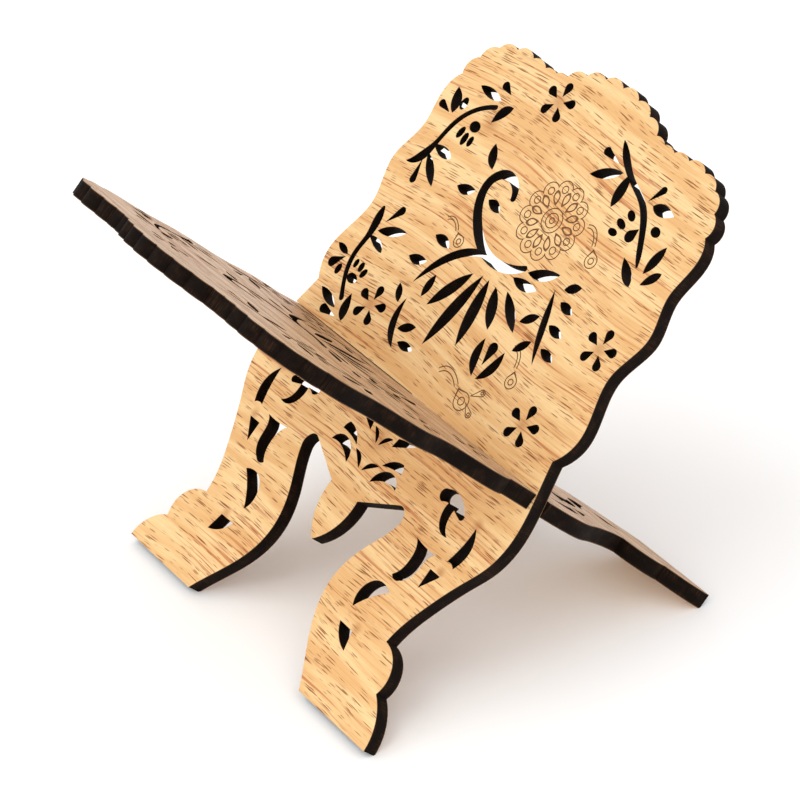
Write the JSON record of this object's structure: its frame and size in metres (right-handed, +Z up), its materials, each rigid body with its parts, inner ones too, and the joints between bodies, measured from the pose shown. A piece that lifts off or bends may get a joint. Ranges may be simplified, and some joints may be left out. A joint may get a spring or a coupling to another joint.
{
  "type": "quran stand",
  "caption": "Crossed-leaf wooden book stand with scalloped top edges, scrolled feet and pierced floral scrollwork; its leaves interlock in slots cut to their middles.",
  "frame": {"origin": "centre of the bounding box's bottom, on the floor, 3.4 mm in front of the crossing line's middle", "axes": "+X along the crossing line, +Y toward the top of the rear leaf, +Z up"},
  "size_m": [0.202, 0.2604, 0.2295],
  "materials": {
    "veneer": "unvarnished light hardwood veneer, grain across the leaf, smoke-tinted beside the laser cuts",
    "charred_board": "fibreboard core, its laser-cut edges charred matt brown-black"
  },
  "bodies": {
    "rear_leaf": {"rear_leaf_core": "charred_board", "rear_leaf_face_veneer": "veneer", "rear_leaf_back_veneer": "veneer"},
    "front_leaf": {"front_leaf_core": "charred_board", "front_leaf_face_veneer": "veneer", "front_leaf_back_veneer": "veneer"}
  },
  "joints": [
    {"name": "front_leaf_slide", "type": "slide", "parent": "rear_leaf", "child": "front_leaf", "axis": [-1, 0, 0], "range_m": [0, 0.105]}
  ]
}
